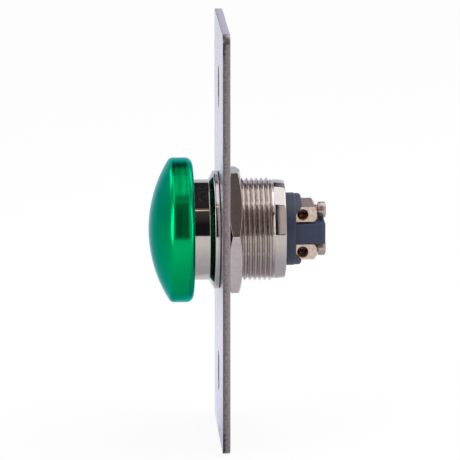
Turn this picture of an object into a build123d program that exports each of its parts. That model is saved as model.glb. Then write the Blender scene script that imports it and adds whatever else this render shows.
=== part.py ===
import math
import os

from build123d import *

# A door exit button: a green mushroom push on a threaded metal barrel, held in a narrow wall
# plate by a hexagon nut, with a moulded contact base and two clamp terminals at the rear.
# Millimetres. The origin is the centre of the plate's rear face, on the push axis.
# +Z is up along the plate, -Y faces the user and +Y goes back into the wall box.

# Wall plate
plate_width = 36.0
plate_length = 90.0
plate_thickness = 1.6
plate_corner_radius = 2.0
plate_edge_round = 0.25
plate_hole_clearance = 0.15
fixing_pitch = 62.0
fixing_slot_length = 8.8
fixing_slot_width = 4.4

# Barrel, outside
thread_radius = 11.0
thread_pitch = 1.05
thread_depth = 0.62
thread_crest_flat = 0.13
thread_root_flat = 0.15
thread_grooves = 10
runout_width = 0.5
runout_depth = 0.55
collar_length = 2.4
collar_inset = 0.4
collar_taper = 0.2
collar_end_round = 0.4
gasket_thickness = 0.2
gasket_inset = 0.15
flange_overhang = 1.6
flange_side_length = 0.65
flange_chamfer_length = 0.3
flange_chamfer_depth = 0.4
cone_length = 1.0
neck_inset = 0.26
neck_length = 4.85
neck_end_chamfer = 0.3

# Barrel, inside
neck_wall = 2.14
barrel_wall = 1.48
web_thickness = 2.0
web_behind_flange = 1.2
boss_wall = 1.0
boss_length = 3.4
base_step = 0.5
lip_length = 1.05
lip_clearance = 0.15

# Lock nut
nut_wall = 1.8
nut_thickness = 2.9
nut_corner_angle = 6.2
nut_chamfer_angle = 24.0
nut_cut_margin = 0.5
nut_thread_clearance = 0.03
nut_bore_chamfer = 0.3

# Push: travel, cap and stem
travel = 2.8
cap_radius = 15.45
dome_radius = 28.3
rim_length = 4.8
cap_front_round = 0.8
cap_rear_round = 1.0
cap_cone_gap = 0.6
cap_neck_clearance = 0.76
cap_floor_gap = 0.5
cap_recess_round = 0.5
cap_boss_wall = 1.6
cap_boss_gap = 0.4
stem_radius = 3.0
stem_in_cap = 1.7
stem_cap_clearance = 0.02
stem_collar_length = 0.6
stem_tail_radius = 1.6
stem_tail_length = 3.7
stem_running_clearance = 0.03

# Guide bush, seal and clip on the stem
bush_wall = 0.97
bush_flange_depth = 0.8
bush_flange_thickness = 0.6
bush_fit_clearance = 0.02
seal_wire_radius = 0.52
seal_clearance = 0.02
seal_side_gap = 0.08
seal_inset = 1.2
clip_depth = 1.2
clip_thickness = 0.6
clip_groove_depth = 0.6
clip_opening = 3.4
clip_play = 0.1

# Return spring
spring_boss_gap = 1.0
spring_wire_radius = 0.4
spring_turns = 5.6
spring_seat_clearance = 0.05

# Moving contact
carrier_radius = 3.6
carrier_front_gap = 0.05
carrier_socket_clearance = 0.03
carrier_floor = 0.2
post_radius = 1.3
post_head_depth = 0.6
post_head_length = 0.6
post_head_gap = 0.15
bridge_space = 2.0
bridge_width = 3.4
bridge_thickness = 0.4
bridge_hole_clearance = 0.08
tip_radius = 1.1
tip_thickness = 0.5
contact_spring_gap = 0.5
contact_spring_wire = 0.2
contact_spring_turns = 3.0
contact_gap_left = 0.1

# Fixed contacts and moulded base
stud_head_radius = 1.7
stud_head_thickness = 0.6
stud_radius = 1.0
stud_in_block = 0.6
stud_clearance = 0.03
base_flange_length = 2.65
base_front_gap = 0.05
base_radial_clearance = 0.1
cavity_clearance = 1.05
disc_wall = 0.95
disc_length = 2.18
disc_edge_chamfer = 0.2
guard_length = 1.32
guard_inset = 0.13
guard_chamfer_length = 0.4
guard_chamfer_depth = 0.3
guard_ramp_drop = 1.45
rib_half_width = 6.0
rib_half_height = 2.18
rib_length = 6.32
rib_edge_chamfer = 0.75
rib_block_gap = 0.22

# Terminals
block_half_width = 4.8
block_height = 3.3
block_length = 4.55
block_seat_depth = 0.93
block_seat_clearance = 0.05
block_chamfer_length = 0.6
block_chamfer_height = 0.9
block_end_chamfer = 0.15
wire_hole_radius = 1.18
wire_hole_wall = 0.34
screw_head_radius = 1.78
screw_head_gap = 0.45
screw_head_length = 1.7
screw_head_round = 0.25
screw_rear_round = 0.55
screw_shank_radius = 1.25
screw_fit_clearance = 0.02
screw_tip_gap = 0.07
screw_slot_width = 0.55
screw_slot_depth = 0.6

# Radii and heights worked out from the sizes above
plate_hole_radius = thread_radius + plate_hole_clearance
collar_radius = thread_radius - collar_inset
collar_end_radius = collar_radius - collar_taper
flange_radius = thread_radius + flange_overhang
neck_radius = thread_radius - neck_inset
spring_pocket_radius = neck_radius - neck_wall
base_seat_radius = thread_radius - thread_depth - barrel_wall
chamber_radius = base_seat_radius - base_step
base_radius = base_seat_radius - base_radial_clearance
terminal_height = rib_half_height + rib_block_gap + block_height / 2
bridge_length = 2 * terminal_height + bridge_width
base_cavity_radius = bridge_length / 2 + cavity_clearance
disc_radius = base_cavity_radius + disc_wall
lip_radius = disc_radius + lip_clearance
guard_radius = disc_radius - guard_inset
nut_flat_radius = thread_radius + nut_wall
nut_bore_radius = thread_radius + nut_thread_clearance
cap_recess_radius = neck_radius + cap_neck_clearance
cap_boss_radius = stem_radius + cap_boss_wall
cap_bore_radius = stem_radius + stem_cap_clearance
bush_bore_radius = stem_radius + stem_running_clearance
bush_radius = bush_bore_radius + bush_wall
bush_hole_radius = bush_radius + bush_fit_clearance
bush_flange_radius = bush_radius + bush_flange_depth
boss_radius = bush_radius + boss_wall
seal_ring_radius = bush_bore_radius - seal_clearance - seal_wire_radius
seal_groove_radius = seal_ring_radius - seal_wire_radius - seal_clearance
seal_groove_width = 2 * (seal_wire_radius + seal_side_gap)
clip_radius = stem_radius + clip_depth
clip_groove_radius = stem_radius - clip_groove_depth
spring_coil_radius = boss_radius + spring_boss_gap + spring_wire_radius
carrier_socket_radius = stem_tail_radius + carrier_socket_clearance
post_head_radius = post_radius + post_head_depth
contact_spring_radius = post_radius + contact_spring_gap + contact_spring_wire
block_seat_height = block_height + 2 * block_seat_clearance
block_seat_width = 2 * (block_half_width + block_seat_clearance)
guard_low = terminal_height + block_seat_height / 2
screw_bore_radius = screw_shank_radius + screw_fit_clearance
radius_match = 0.001

# Stations along the push axis: the bezel and the inside of the neck
plate_front = -plate_thickness
flange_rear = plate_front - gasket_thickness
flange_front = flange_rear - flange_side_length
cone_rear = flange_front - flange_chamfer_length
neck_rear = cone_rear - cone_length
neck_front = neck_rear - neck_length
web_rear = flange_rear + web_behind_flange
web_front = web_rear - web_thickness
boss_front = web_front - boss_length
bush_front = boss_front - bush_flange_thickness

# Stations of the thread, collar, moulded base and terminals
thread_end = (thread_grooves - 1) * thread_pitch
collar_front = thread_end + runout_width
barrel_rear = collar_front + collar_length
lip_front = barrel_rear - lip_length
base_rear_shoulder = lip_front - base_front_gap
base_front = base_rear_shoulder - base_flange_length
seat_front = base_front - base_front_gap
disc_rear = barrel_rear + disc_length
guard_rear = disc_rear + guard_length
rib_rear = disc_rear + rib_length
block_front = disc_rear - block_seat_depth
block_rear = disc_rear + block_length
stud_rear = block_front + stud_in_block
wire_hole_station = disc_rear + wire_hole_wall + wire_hole_radius
screw_tip = wire_hole_station + wire_hole_radius + screw_tip_gap
screw_head_front = block_rear + screw_head_gap
screw_head_rear = screw_head_front + screw_head_length

# Stations of the push and its contacts, at rest
cap_rear = neck_rear - travel - cap_cone_gap
rim_front = cap_rear - rim_length
recess_floor = neck_front - travel - cap_floor_gap
cap_boss_rear = bush_front - travel - cap_boss_gap
stem_front = recess_floor - stem_in_cap
seal_groove_front = bush_front + seal_inset
seal_groove_rear = seal_groove_front + seal_groove_width
clip_front = web_rear + clip_play
clip_rear = clip_front + clip_thickness
stem_shoulder = clip_rear + stem_collar_length
stem_rear = stem_shoulder + stem_tail_length
carrier_front = stem_shoulder + carrier_front_gap
carrier_rear = stem_rear + carrier_floor
bridge_front = carrier_rear + bridge_space
bridge_rear = bridge_front + bridge_thickness
head_front = bridge_rear + post_head_gap
post_rear = head_front + post_head_length
moving_tip_rear = bridge_rear + tip_thickness
fixed_tip_front = moving_tip_rear + travel + contact_gap_left
stud_front = fixed_tip_front + tip_thickness
cavity_floor = stud_front + stud_head_thickness


def facing_rear(station):
    """Plane across the push axis at a station, seen from the rear: local y is up."""
    return Plane(origin=(0, station, 0), x_dir=(-1, 0, 0), z_dir=(0, 1, 0))


def turn(outline, height=0.0, mode=Mode.ADD):
    """Turn a closed outline of (station, radius) points about an axis along Y at a height."""
    with BuildSketch(Plane.YZ) as section:
        with BuildLine():
            Polyline(*[(station, height + radius) for station, radius in outline], close=True)
        make_face()
    revolve(section.sketch, axis=Axis((0, 0, height), (0, 1, 0)), mode=mode)


def ring_edges(part, radius):
    """Circular edges of one radius, from the front to the rear."""
    circles = part.edges().filter_by(GeomType.CIRCLE)
    return circles.filter_by(lambda edge: abs(edge.radius - radius) < radius_match).sort_by(Axis.Y)


# Wall plate, with its rounded border, two fixing slots and the hole for the barrel
with BuildPart() as face_plate:
    with BuildSketch(facing_rear(plate_front)):
        RectangleRounded(plate_width, plate_length, plate_corner_radius)
        Circle(plate_hole_radius, mode=Mode.SUBTRACT)
        with GridLocations(0, fixing_pitch, 1, 2):
            SlotOverall(fixing_slot_length, fixing_slot_width, rotation=90, mode=Mode.SUBTRACT)
    extrude(amount=plate_thickness)
    front_border = face_plate.faces().sort_by(Axis.Y)[0].outer_wire().edges()
    rear_border = face_plate.faces().sort_by(Axis.Y)[-1].outer_wire().edges()
    fillet(front_border + rear_border, plate_edge_round)

# Barrel: neck, flared bezel, thread and rolled collar in one turned body
with BuildPart() as barrel:
    turn(
        [
            (neck_front, spring_pocket_radius),
            (neck_front, neck_radius - neck_end_chamfer),
            (neck_front + neck_end_chamfer, neck_radius),
            (neck_rear, neck_radius),
            (cone_rear, flange_radius - flange_chamfer_depth),
            (flange_front, flange_radius),
            (flange_rear, flange_radius),
            (flange_rear, thread_radius),
            (thread_end, thread_radius),
            (thread_end + runout_width / 2, thread_radius - runout_depth),
            (collar_front, collar_radius),
            (barrel_rear, collar_end_radius),
            (barrel_rear, lip_radius),
            (lip_front, lip_radius),
            (lip_front, base_seat_radius),
            (seat_front, base_seat_radius),
            (seat_front, chamber_radius),
            (web_rear, chamber_radius),
            (web_rear, bush_hole_radius),
            (boss_front, bush_hole_radius),
            (boss_front, boss_radius),
            (web_front, boss_radius),
            (web_front, spring_pocket_radius),
        ]
    )
    groove_top = thread_pitch - thread_crest_flat
    for groove_number in range(thread_grooves):
        groove = (groove_number - 0.5) * thread_pitch
        turn(
            [
                (groove - groove_top / 2, thread_radius + thread_depth),
                (groove + groove_top / 2, thread_radius + thread_depth),
                (groove + groove_top / 2, thread_radius),
                (groove + thread_root_flat / 2, thread_radius - thread_depth),
                (groove - thread_root_flat / 2, thread_radius - thread_depth),
                (groove - groove_top / 2, thread_radius),
            ],
            mode=Mode.SUBTRACT,
        )
    fillet(ring_edges(barrel, collar_end_radius)[-1], collar_end_round)

# Flat gasket between the bezel flange and the plate
with BuildPart() as bezel_gasket:
    with BuildSketch(facing_rear(flange_rear)):
        Circle(flange_radius - gasket_inset)
        Circle(plate_hole_radius, mode=Mode.SUBTRACT)
    extrude(amount=gasket_thickness)

# Hexagon lock nut, chamfered on both faces
with BuildPart() as lock_nut:
    with BuildSketch(facing_rear(0)):
        RegularPolygon(nut_flat_radius, 6, major_radius=False, rotation=-nut_corner_angle)
        Circle(nut_bore_radius, mode=Mode.SUBTRACT)
    extrude(amount=nut_thickness)
    chamfer(ring_edges(lock_nut, nut_bore_radius), nut_bore_chamfer)
    cut_radius = nut_flat_radius / math.cos(math.radians(30)) + nut_cut_margin
    cut_run = (cut_radius - nut_flat_radius) * math.tan(math.radians(nut_chamfer_angle))
    for face_station, inward in ((0, 1), (nut_thickness, -1)):
        turn(
            [
                (face_station, nut_flat_radius),
                (face_station + inward * cut_run, cut_radius),
                (face_station, cut_radius),
            ],
            mode=Mode.SUBTRACT,
        )

# Mushroom cap: shallow dome, straight rim, and a recess that runs over the neck
dome_centre = rim_front + math.sqrt(dome_radius**2 - cap_radius**2)
dome_apex = dome_centre - dome_radius
half_angle = math.asin(cap_radius / dome_radius) / 2
dome_middle = (dome_centre - dome_radius * math.cos(half_angle), dome_radius * math.sin(half_angle))
with BuildPart() as mushroom_cap:
    with BuildSketch(Plane.YZ):
        with BuildLine():
            ThreePointArc((dome_apex, 0), dome_middle, (rim_front, cap_radius))
            Polyline(
                (rim_front, cap_radius),
                (cap_rear, cap_radius),
                (cap_rear, cap_recess_radius),
                (recess_floor, cap_recess_radius),
                (recess_floor, cap_boss_radius),
                (cap_boss_rear, cap_boss_radius),
                (cap_boss_rear, cap_bore_radius),
                (stem_front, cap_bore_radius),
                (stem_front, 0),
                (dome_apex, 0),
            )
        make_face()
    revolve(axis=Axis.Y)
    fillet(ring_edges(mushroom_cap, cap_radius)[0], cap_front_round)
    fillet(ring_edges(mushroom_cap, cap_radius)[-1], cap_rear_round)
    fillet(ring_edges(mushroom_cap, cap_recess_radius)[-1], cap_recess_round)

# Push stem, with grooves for the seal and the clip, and a thinner tail for the carrier
with BuildPart() as actuator_stem:
    turn(
        [
            (stem_front, 0),
            (stem_front, stem_radius),
            (seal_groove_front, stem_radius),
            (seal_groove_front, seal_groove_radius),
            (seal_groove_rear, seal_groove_radius),
            (seal_groove_rear, stem_radius),
            (clip_front, stem_radius),
            (clip_front, clip_groove_radius),
            (clip_rear, clip_groove_radius),
            (clip_rear, stem_radius),
            (stem_shoulder, stem_radius),
            (stem_shoulder, stem_tail_radius),
            (stem_rear, stem_tail_radius),
            (stem_rear, 0),
        ]
    )

# Flanged guide bush pressed into the barrel's boss
with BuildPart() as stem_bush:
    turn(
        [
            (bush_front, bush_bore_radius),
            (bush_front, bush_flange_radius),
            (boss_front, bush_flange_radius),
            (boss_front, bush_radius),
            (web_rear, bush_radius),
            (web_rear, bush_bore_radius),
        ]
    )

# Round seal in the stem's groove, running in the bush
with BuildPart() as stem_seal:
    with BuildSketch(Plane.YZ):
        with Locations(((seal_groove_front + seal_groove_rear) / 2, seal_ring_radius)):
            Circle(seal_wire_radius)
    revolve(axis=Axis.Y)

# Open retaining clip that stops the stem against the bush
with BuildPart() as stem_clip:
    with BuildSketch(facing_rear(clip_front)):
        Circle(clip_radius)
        Circle(clip_groove_radius, mode=Mode.SUBTRACT)
        with Locations((0, -clip_radius)):
            Rectangle(clip_opening, clip_radius * 2, mode=Mode.SUBTRACT)
    extrude(amount=clip_thickness)

# Return spring, between the pocket's floor and the cap
spring_start = recess_floor + spring_seat_clearance + spring_wire_radius
spring_height = web_front - spring_seat_clearance - spring_wire_radius - spring_start
with BuildPart() as return_spring:
    with BuildLine() as return_coil:
        Helix(
            spring_height / spring_turns,
            spring_height,
            spring_coil_radius,
            center=(0, spring_start, 0),
            direction=(0, 1, 0),
        )
    with BuildSketch(Plane(origin=return_coil.line @ 0, z_dir=return_coil.line % 0)):
        Circle(spring_wire_radius)
    sweep(is_frenet=True)

# Moulded contact carrier: a hub on the stem's tail and a headed post for the bridge
with BuildPart() as contact_carrier:
    turn(
        [
            (carrier_front, carrier_socket_radius),
            (carrier_front, carrier_radius),
            (carrier_rear, carrier_radius),
            (carrier_rear, post_radius),
            (head_front, post_radius),
            (head_front, post_head_radius),
            (post_rear, post_head_radius),
            (post_rear, 0),
            (stem_rear, 0),
            (stem_rear, carrier_socket_radius),
        ]
    )

# Contact spring behind the bridge
coil_start = carrier_rear + spring_seat_clearance + contact_spring_wire
coil_height = bridge_front - spring_seat_clearance - contact_spring_wire - coil_start
with BuildPart() as contact_spring:
    with BuildLine() as contact_coil:
        Helix(
            coil_height / contact_spring_turns,
            coil_height,
            contact_spring_radius,
            center=(0, coil_start, 0),
            direction=(0, 1, 0),
        )
    with BuildSketch(Plane(origin=contact_coil.line @ 0, z_dir=contact_coil.line % 0)):
        Circle(contact_spring_wire)
    sweep(is_frenet=True)

# Contact bridge, a flat strip with round ends
with BuildPart() as contact_bridge:
    with BuildSketch(facing_rear(bridge_front)):
        SlotOverall(bridge_length, bridge_width, rotation=90)
        Circle(post_radius + bridge_hole_clearance, mode=Mode.SUBTRACT)
    extrude(amount=bridge_thickness)

# Contact tips on the bridge, one for each terminal
with BuildPart() as moving_contact_tips:
    with BuildSketch(facing_rear(bridge_rear)):
        with GridLocations(0, 2 * terminal_height, 1, 2):
            Circle(tip_radius)
    extrude(amount=tip_thickness)

# Moulded contact base: flange inside the barrel, disc, two guards and the rib between terminals
guard_foot = guard_low - guard_ramp_drop
with BuildPart() as guard_form:
    with BuildSketch(Plane.YZ) as guard_section:
        with BuildLine():
            Polyline(
                (block_front, guard_foot),
                (disc_rear, guard_foot),
                (guard_rear, guard_low),
                (guard_rear, disc_radius),
                (block_front, disc_radius),
                close=True,
            )
        make_face()
        mirror(about=Plane.XZ)
    extrude(amount=disc_radius, both=True)
    turn(
        [
            (block_front, 0),
            (block_front, guard_radius),
            (guard_rear - guard_chamfer_length, guard_radius),
            (guard_rear, guard_radius - guard_chamfer_depth),
            (guard_rear, 0),
        ],
        mode=Mode.INTERSECT,
    )

with BuildPart() as contact_base:
    turn(
        [
            (base_front, base_cavity_radius),
            (base_front, base_radius),
            (base_rear_shoulder, base_radius),
            (base_rear_shoulder, disc_radius),
            (disc_rear - disc_edge_chamfer, disc_radius),
            (disc_rear, disc_radius - disc_edge_chamfer),
            (disc_rear, 0),
            (cavity_floor, 0),
            (cavity_floor, base_cavity_radius),
        ]
    )
    add(guard_form.part)
    with BuildSketch(facing_rear(block_front)):
        Rectangle(2 * rib_half_width, 2 * rib_half_height)
    extrude(amount=rib_rear - block_front)
    rib_end = contact_base.faces().sort_by(Axis.Y)[-1]
    chamfer(rib_end.edges().filter_by(Axis.Z), rib_edge_chamfer)
    with BuildSketch(facing_rear(block_front)):
        with GridLocations(0, 2 * terminal_height, 1, 2):
            Rectangle(block_seat_width, block_seat_height)
    extrude(amount=guard_rear - block_front, mode=Mode.SUBTRACT)
    with BuildSketch(facing_rear(cavity_floor)):
        with GridLocations(0, 2 * terminal_height, 1, 2):
            Circle(stud_radius + stud_clearance)
    extrude(amount=block_front - cavity_floor, mode=Mode.SUBTRACT)

# Fixed contact tips, on the stud heads
with BuildPart() as fixed_contact_tips:
    with BuildSketch(facing_rear(fixed_tip_front)):
        with GridLocations(0, 2 * terminal_height, 1, 2):
            Circle(tip_radius)
    extrude(amount=tip_thickness)

pieces = {
    "face_plate": face_plate,
    "barrel": barrel,
    "bezel_gasket": bezel_gasket,
    "lock_nut": lock_nut,
    "mushroom_cap": mushroom_cap,
    "actuator_stem": actuator_stem,
    "stem_bush": stem_bush,
    "stem_seal": stem_seal,
    "stem_clip": stem_clip,
    "return_spring": return_spring,
    "contact_carrier": contact_carrier,
    "contact_spring": contact_spring,
    "contact_bridge": contact_bridge,
    "moving_contact_tips": moving_contact_tips,
    "fixed_contact_tips": fixed_contact_tips,
    "contact_base": contact_base,
}

# One stud, clamp block and screw above the rib, and one of each below it
for side, sign in {"upper": 1, "lower": -1}.items():
    centre = sign * terminal_height

    # Headed stud through the base's floor, from the fixed tip into the block
    with BuildPart() as contact_stud:
        turn(
            [
                (stud_front, 0),
                (stud_front, stud_head_radius),
                (cavity_floor, stud_head_radius),
                (cavity_floor, stud_radius),
                (stud_rear, stud_radius),
                (stud_rear, 0),
            ],
            height=centre,
        )

    # Clamp block with the wire hole across it and the screw's bore from the rear
    with BuildPart() as terminal_block:
        with BuildSketch(facing_rear(block_front)):
            with Locations((0, centre)):
                Rectangle(2 * block_half_width, block_height)
        extrude(amount=block_rear - block_front)
        block_end = terminal_block.faces().sort_by(Axis.Y)[-1]
        chamfer(
            block_end.edges().filter_by(Axis.X),
            block_chamfer_height,
            block_chamfer_length,
            reference=block_end,
        )
        chamfer(terminal_block.edges().filter_by(Axis.Z), block_end_chamfer)
        with BuildSketch(Plane.YZ):
            with Locations((wire_hole_station, centre)):
                Circle(wire_hole_radius)
        extrude(amount=block_half_width, both=True, mode=Mode.SUBTRACT)
        turn(
            [
                (wire_hole_station, 0),
                (wire_hole_station, screw_bore_radius),
                (block_rear, screw_bore_radius),
                (block_rear, 0),
            ],
            height=centre,
            mode=Mode.SUBTRACT,
        )
        turn(
            [
                (block_front, 0),
                (block_front, stud_radius + stud_clearance),
                (stud_rear, stud_radius + stud_clearance),
                (stud_rear, 0),
            ],
            height=centre,
            mode=Mode.SUBTRACT,
        )

    # Slotted clamp screw, its tip just clear of the wire hole
    with BuildPart() as terminal_screw:
        turn(
            [
                (screw_tip, 0),
                (screw_tip, screw_shank_radius),
                (screw_head_front, screw_shank_radius),
                (screw_head_front, screw_head_radius),
                (screw_head_rear, screw_head_radius),
                (screw_head_rear, 0),
            ],
            height=centre,
        )
        head_rings = ring_edges(terminal_screw, screw_head_radius)
        fillet(head_rings[0], screw_head_round)
        fillet(ring_edges(terminal_screw, screw_head_radius)[-1], screw_rear_round)
        with BuildSketch(facing_rear(screw_head_rear - screw_slot_depth)):
            with Locations((0, centre)):
                Rectangle(screw_slot_width, 2 * screw_head_radius)
        extrude(amount=screw_slot_depth, mode=Mode.SUBTRACT)

    pieces[f"contact_stud_{side}"] = contact_stud
    pieces[f"terminal_block_{side}"] = terminal_block
    pieces[f"terminal_screw_{side}"] = terminal_screw

os.makedirs("parts", exist_ok=True)
for name, piece in pieces.items():
    piece.part.label = name
    export_step(piece.part, f"parts/{name}.step")
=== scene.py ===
"""Door exit button, dressed for its photograph.

A green mushroom push runs in a plated barrel, which a hexagon nut holds in a narrow steel
wall plate. A moulded contact base with two clamp terminals closes the barrel at the rear.
Sizes and drafts are in millimetres and finished meshes in metres. +Z is up along the plate,
-Y faces the user and +Y goes back into the wall box.
"""

import logging
import math
from dataclasses import dataclass, field
from enum import Enum
from functools import partial
from typing import Any, Callable, ClassVar, Iterable, Optional, Sequence, Union

import bmesh
import bpy
from bmesh.types import BMesh, BMFace
from bpy.types import Material, Mesh, NodeSocket, NodeTree, Object
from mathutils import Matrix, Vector


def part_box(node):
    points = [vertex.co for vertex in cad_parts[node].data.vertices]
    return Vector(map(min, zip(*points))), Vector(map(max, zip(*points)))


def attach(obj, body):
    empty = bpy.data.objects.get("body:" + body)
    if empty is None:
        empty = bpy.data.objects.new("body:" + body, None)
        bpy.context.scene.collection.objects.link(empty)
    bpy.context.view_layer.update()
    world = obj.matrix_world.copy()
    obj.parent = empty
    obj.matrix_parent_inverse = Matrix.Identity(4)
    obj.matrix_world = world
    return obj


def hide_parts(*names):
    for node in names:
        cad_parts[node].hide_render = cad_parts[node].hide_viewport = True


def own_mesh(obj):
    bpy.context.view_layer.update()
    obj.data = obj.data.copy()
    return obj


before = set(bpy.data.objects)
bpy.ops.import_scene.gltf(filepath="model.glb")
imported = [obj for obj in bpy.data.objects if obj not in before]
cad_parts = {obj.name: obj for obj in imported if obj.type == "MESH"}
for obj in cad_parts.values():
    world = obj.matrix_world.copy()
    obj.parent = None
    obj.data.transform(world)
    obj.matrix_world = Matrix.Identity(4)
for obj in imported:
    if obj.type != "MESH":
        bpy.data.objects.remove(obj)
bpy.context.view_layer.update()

MM = 0.001
TURN = 2 * math.pi

# Metres within which two points are one
WELD = 2e-7
# Watts that give a square metre of an area lamp the level 1
LAMP_POWER = 4.0
# How CAD edges are softened: angles in degrees, and the steps of a rounding
FLAT_ANGLE, BEVEL_ANGLE, BEVEL_CREASE, BEVEL_STEPS = 0.4, 28.0, 40.0, 3

Colour = tuple[float, float, float]
Place = tuple[float, float, float]
Point = tuple[float, float]
Span = tuple[float, float]
Radius = Union[float, Callable[[float], float]]

WHITE: Colour = (1.0, 1.0, 1.0)

log = logging.getLogger("door_exit_button")


class Body(Enum):
    """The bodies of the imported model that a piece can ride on."""

    HOUSING = "housing"
    PUSH = "push"


class Lay(Enum):
    """The direction of the fine tool lines in a surface."""

    NONE = "no lines"
    TURNED = "rings round the push axis, on faces and sides alike"
    RINGED = "rings along the push axis only"
    BRUSHED = "long hairlines along the plate"
    CROSSED = "fine lines both along and across the push axis"


# Node trees


def joined(operation: str, reflected: bool = False) -> Callable[["Value", "Operand"], "Value"]:
    """Make an operator of Value.

    Args:
        operation: The operation of the Math node that it adds.
        reflected: Whether the other operand comes first.

    Returns:
        The operator.
    """

    def operator(self: "Value", other: "Operand") -> "Value":
        """Return the Math node's result."""
        operands = (other, self) if reflected else (self, other)
        return self.graph.math(operation, *operands)

    return operator


@dataclass(frozen=True)
class Value:
    """An output socket that takes part in Python arithmetic."""

    graph: "Graph"
    socket: Optional[NodeSocket]

    __add__, __radd__ = joined("ADD"), joined("ADD", True)
    __sub__, __rsub__ = joined("SUBTRACT"), joined("SUBTRACT", True)
    __mul__, __rmul__ = joined("MULTIPLY"), joined("MULTIPLY", True)
    __truediv__ = joined("DIVIDE")
    least, most = joined("MINIMUM"), joined("MAXIMUM")

    def ramp(self, start: "Operand", end: "Operand", low: float = 0.0, high: float = 1.0) -> "Value":
        """Add a clamped straight ramp.

        Args:
            start: The value at which the ramp gives low.
            end: The value at which the ramp gives high.
            low: What the ramp gives at start.
            high: What the ramp gives at end.

        Returns:
            The ramp's value.
        """
        sockets = {"Value": self, "From Min": start, "From Max": end, "To Min": low, "To Max": high}
        return self.graph.add("ShaderNodeMapRange", {"clamp": True}, sockets)


Operand = Union[Value, float]


class Graph:
    """A node tree, with one method that adds any node to it."""

    def __init__(self, tree: NodeTree) -> None:
        """Take an existing tree and clear it."""
        self.tree = tree
        self.tree.nodes.clear()

    def feed(self, socket: NodeSocket, given: Any) -> None:
        """Link a value to a socket, or write a number, colour or vector on it.

        Args:
            socket: The input socket.
            given: A Value to link, or what the socket itself holds.
        """
        if isinstance(given, Value):
            self.tree.links.new(given.socket, socket)
        elif socket.type == "RGBA":
            socket.default_value = (*given[:3], 1.0)
        else:
            socket.default_value = given

    def add(
        self,
        kind: str,
        settings: Optional[dict[str, Any]] = None,
        sockets: Optional[dict[Union[str, int], Any]] = None,
        output: Union[str, int] = 0,
    ) -> Value:
        """Add a node.

        Args:
            kind: The node's type.
            settings: The node's own settings, which are set first.
            sockets: What each input socket is given, by name or number.
            output: Which output is returned.

        Returns:
            The chosen output as a value, with no socket where the node has no output.
        """
        node = self.tree.nodes.new(kind)
        for name, setting in (settings or {}).items():
            setattr(node, name, setting)
        for key, given in (sockets or {}).items():
            self.feed(node.inputs[key], given)
        return Value(self, node.outputs[output] if len(node.outputs) else None)

    def math(self, operation: str, *operands: Operand) -> Value:
        """Add a Math node on one to three operands and return its result."""
        return self.add("ShaderNodeMath", {"operation": operation}, dict(enumerate(operands)))

    def parts(self, vector: Value) -> tuple[Value, Value, Value]:
        """Return the three numbers of a vector."""
        node = self.add("ShaderNodeSeparateXYZ", None, {"Vector": vector}).socket.node
        return Value(self, node.outputs[0]), Value(self, node.outputs[1]), Value(self, node.outputs[2])

    def vector(self, x: Operand, y: Operand, z: Operand) -> Value:
        """Return a vector made of three numbers."""
        return self.add("ShaderNodeCombineXYZ", None, {0: x, 1: y, 2: z})

    def mix(self, factor: Operand, first: Any, second: Any) -> Value:
        """Return a mix of two colours."""
        return self.add("ShaderNodeMix", {"data_type": "RGBA"}, {0: factor, 6: first, 7: second}, 2)

    def noise(self, place: Value, size: float, detail: float = 3.0) -> Value:
        """Return even noise from 0 to 1, with features of a size in millimetres."""
        sockets = {"Vector": place, "Scale": 1 / (size * MM), "Detail": detail}
        return self.add("ShaderNodeTexNoise", None, sockets)


class GeometryTree(Graph):
    """A Geometry Nodes tree with named inputs, which ends in plain meshes."""

    def __init__(self, name: str, inputs: dict[str, str]) -> None:
        """Make the tree.

        Args:
            name: The tree's name.
            inputs: The socket type of each named input.
        """
        super().__init__(bpy.data.node_groups.new(name, "GeometryNodeTree"))
        self.identifiers: dict[str, str] = {}
        for label, kind in {**inputs, "Material": "NodeSocketMaterial"}.items():
            item = self.tree.interface.new_socket(name=label, in_out="INPUT", socket_type=kind)
            self.identifiers[label] = item.identifier
        self.tree.interface.new_socket(name="Mesh", in_out="OUTPUT", socket_type="NodeSocketGeometry")
        self.given = self.add("NodeGroupInput").socket.node

    def input(self, label: str) -> Value:
        """Return a named input of the tree as a value."""
        return Value(self, self.given.outputs[label])

    def end(self, geometry: Value) -> None:
        """Realise the instances, set the material and close the tree.

        Args:
            geometry: What the tree has made.
        """
        whole = self.add("GeometryNodeRealizeInstances", None, {"Geometry": geometry})
        dressed = {"Geometry": whole, "Material": self.input("Material")}
        self.add("NodeGroupOutput", None, {0: self.add("GeometryNodeSetMaterial", None, dressed)})

    def mesh(self, values: dict[str, Any]) -> Mesh:
        """Evaluate the tree.

        Args:
            values: What each named input is given.

        Returns:
            A plain mesh with nothing live on it.
        """
        holder = linked("tree_holder", bpy.data.meshes.new("tree_holder"))
        modifier = holder.modifiers.new("tree", "NODES")
        modifier.node_group = self.tree
        for label, given in values.items():
            modifier[self.identifiers[label]] = given
        made = baked(holder)
        bpy.data.objects.remove(holder)
        return made


# Sections and meshes


def linked(name: str, data: bpy.types.ID) -> Object:
    """Return a new object of the scene that holds some data."""
    made = bpy.data.objects.new(name, data)
    bpy.context.scene.collection.objects.link(made)
    return made


def baked(piece: Object) -> Mesh:
    """Return a new mesh of an object with its modifiers applied."""
    bpy.context.view_layer.update()
    depsgraph = bpy.context.evaluated_depsgraph_get()
    return bpy.data.meshes.new_from_object(piece.evaluated_get(depsgraph), depsgraph=depsgraph)


def written(shape: BMesh, name: str) -> Mesh:
    """Return a new mesh with what a bmesh holds, and free the bmesh."""
    mesh = bpy.data.meshes.new(name)
    shape.to_mesh(mesh)
    shape.free()
    return mesh


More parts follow.
